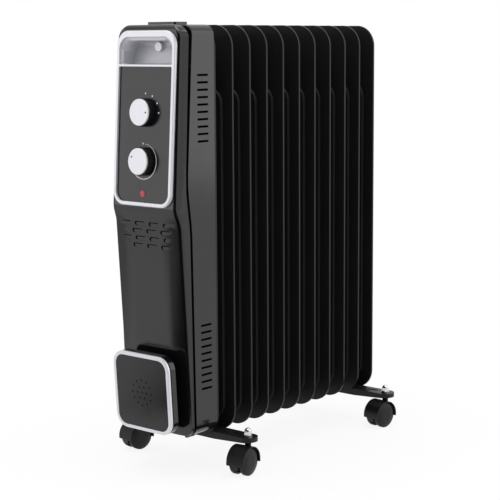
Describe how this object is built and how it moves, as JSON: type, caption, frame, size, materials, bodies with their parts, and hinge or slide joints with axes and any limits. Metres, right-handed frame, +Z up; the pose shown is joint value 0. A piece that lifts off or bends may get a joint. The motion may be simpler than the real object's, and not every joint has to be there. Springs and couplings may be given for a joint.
{
  "type": "oil filled radiator heater",
  "caption": "Free standing oil filled radiator with pressed fins, a moulded control housing with a silver framed panel and knobs, a cord winder, and swivelling twin wheel casters.",
  "frame": {"origin": "on the floor, under the middle of the heater's bounding box", "axes": "+Z up, the control panel faces -Y, +X to the right of someone who looks at the panel"},
  "size_m": [0.2466, 0.4711, 0.632],
  "materials": {
    "fin_paint": "black gloss stove enamel",
    "housing_plastic": "black gloss moulding",
    "panel_plastic": "dark grey gloss moulding",
    "silver_plastic": "satin silver paint on plastic",
    "knob_plastic": "black satin moulding",
    "lamp_lens": "red translucent lens",
    "inner_plastic": "heat resisting moulding",
    "steel": "zinc plated steel",
    "bracket_paint": "black paint",
    "nut_chrome": "bright chrome",
    "caster_plastic": "black satin nylon",
    "bush_rubber": "black rubber"
  },
  "bodies": {
    "heater": {"fin_01": "fin_paint", "fin_02": "fin_paint", "fin_03": "fin_paint", "fin_04": "fin_paint", "fin_05": "fin_paint", "fin_06": "fin_paint", "fin_07": "fin_paint", "fin_08": "fin_paint", "fin_09": "fin_paint", "fin_10": "fin_paint", "fin_11": "fin_paint", "oil_filler_plug": "steel", "heating_element": "steel", "element_terminals": "steel", "rear_cover": "housing_plastic", "front_cover": "housing_plastic", "control_frame": "silver_plastic", "handle_cup": "silver_plastic", "screw_cap": "silver_plastic", "cover_screw": "steel", "control_panel": "panel_plastic", "top_cap": "housing_plastic", "heat_switch": "inner_plastic", "thermostat": "inner_plastic", "indicator_lamp": "lamp_lens", "thermal_cutout": "steel", "terminal_block": "inner_plastic", "cord_bush": "bush_rubber", "winder_spool": "housing_plastic", "winder_ring": "silver_plastic", "winder_face": "panel_plastic", "front_bracket": "bracket_paint", "rear_bracket": "bracket_paint", "u_bolts": "steel", "wing_nuts": "steel", "caster_stems": "steel", "dome_nuts": "nut_chrome"},
    "heat_switch_knob": {"switch_shaft": "steel", "switch_knob": "knob_plastic", "switch_knob_disc": "silver_plastic"},
    "thermostat_control": {"thermostat_shaft": "steel", "thermostat_knob": "knob_plastic", "thermostat_knob_disc": "silver_plastic"},
    "caster_front_right": {"hood_front_right": "caster_plastic", "axle_front_right": "steel"},
    "rolling_outer_wheel_front_right": {"outer_wheel_front_right": "caster_plastic"},
    "rolling_inner_wheel_front_right": {"inner_wheel_front_right": "caster_plastic"},
    "caster_front_left": {"hood_front_left": "caster_plastic", "axle_front_left": "steel"},
    "rolling_outer_wheel_front_left": {"outer_wheel_front_left": "caster_plastic"},
    "rolling_inner_wheel_front_left": {"inner_wheel_front_left": "caster_plastic"},
    "caster_rear_right": {"hood_rear_right": "caster_plastic", "axle_rear_right": "steel"},
    "rolling_outer_wheel_rear_right": {"outer_wheel_rear_right": "caster_plastic"},
    "rolling_inner_wheel_rear_right": {"inner_wheel_rear_right": "caster_plastic"},
    "caster_rear_left": {"hood_rear_left": "caster_plastic", "axle_rear_left": "steel"},
    "rolling_outer_wheel_rear_left": {"outer_wheel_rear_left": "caster_plastic"},
    "rolling_inner_wheel_rear_left": {"inner_wheel_rear_left": "caster_plastic"}
  },
  "joints": [
    {"name": "heat_switch_knob_turn", "type": "hinge", "parent": "heater", "child": "heat_switch_knob", "pos_m": [0, -0.21927, 0.50931], "axis": [0, -0.998, 0.0628], "range_deg": [0, 90]},
    {"name": "thermostat_control_turn", "type": "hinge", "parent": "heater", "child": "thermostat_control", "pos_m": [0, -0.22348, 0.44244], "axis": [0, -0.998, 0.0628], "range_deg": [-270, 0]},
    {"name": "swivel_front_right", "type": "hinge", "parent": "heater", "child": "caster_front_right", "pos_m": [0.105, -0.1298, 0.053], "axis": [0, 0, 1], "continuous": true},
    {"name": "roll_outer_front_right", "type": "hinge", "parent": "caster_front_right", "child": "rolling_outer_wheel_front_right", "pos_m": [0.10646, -0.14171, 0.02], "axis": [0.9925, 0.1219, 0], "continuous": true},
    {"name": "roll_inner_front_right", "type": "hinge", "parent": "caster_front_right", "child": "rolling_inner_wheel_front_right", "pos_m": [0.10646, -0.14171, 0.02], "axis": [0.9925, 0.1219, 0], "continuous": true},
    {"name": "swivel_front_left", "type": "hinge", "parent": "heater", "child": "caster_front_left", "pos_m": [-0.105, -0.1298, 0.053], "axis": [0, 0, 1], "continuous": true},
    {"name": "roll_outer_front_left", "type": "hinge", "parent": "caster_front_left", "child": "rolling_outer_wheel_front_left", "pos_m": [-0.10646, -0.14171, 0.02], "axis": [0.9925, -0.1219, 0], "continuous": true},
    {"name": "roll_inner_front_left", "type": "hinge", "parent": "caster_front_left", "child": "rolling_inner_wheel_front_left", "pos_m": [-0.10646, -0.14171, 0.02], "axis": [0.9925, -0.1219, 0], "continuous": true},
    {"name": "swivel_rear_right", "type": "hinge", "parent": "heater", "child": "caster_rear_right", "pos_m": [0.105, 0.2032, 0.053], "axis": [0, 0, 1], "continuous": true},
    {"name": "roll_outer_rear_right", "type": "hinge", "parent": "caster_rear_right", "child": "rolling_outer_wheel_rear_right", "pos_m": [0.10354, 0.19129, 0.02], "axis": [0.9925, -0.1219, 0], "continuous": true},
    {"name": "roll_inner_rear_right", "type": "hinge", "parent": "caster_rear_right", "child": "rolling_inner_wheel_rear_right", "pos_m": [0.10354, 0.19129, 0.02], "axis": [0.9925, -0.1219, 0], "continuous": true},
    {"name": "swivel_rear_left", "type": "hinge", "parent": "heater", "child": "caster_rear_left", "pos_m": [-0.105, 0.2032, 0.053], "axis": [0, 0, 1], "continuous": true},
    {"name": "roll_outer_rear_left", "type": "hinge", "parent": "caster_rear_left", "child": "rolling_outer_wheel_rear_left", "pos_m": [-0.10354, 0.19129, 0.02], "axis": [0.9925, 0.1219, 0], "continuous": true},
    {"name": "roll_inner_rear_left", "type": "hinge", "parent": "caster_rear_left", "child": "rolling_inner_wheel_rear_left", "pos_m": [-0.10354, 0.19129, 0.02], "axis": [0.9925, 0.1219, 0], "continuous": true}
  ]
}
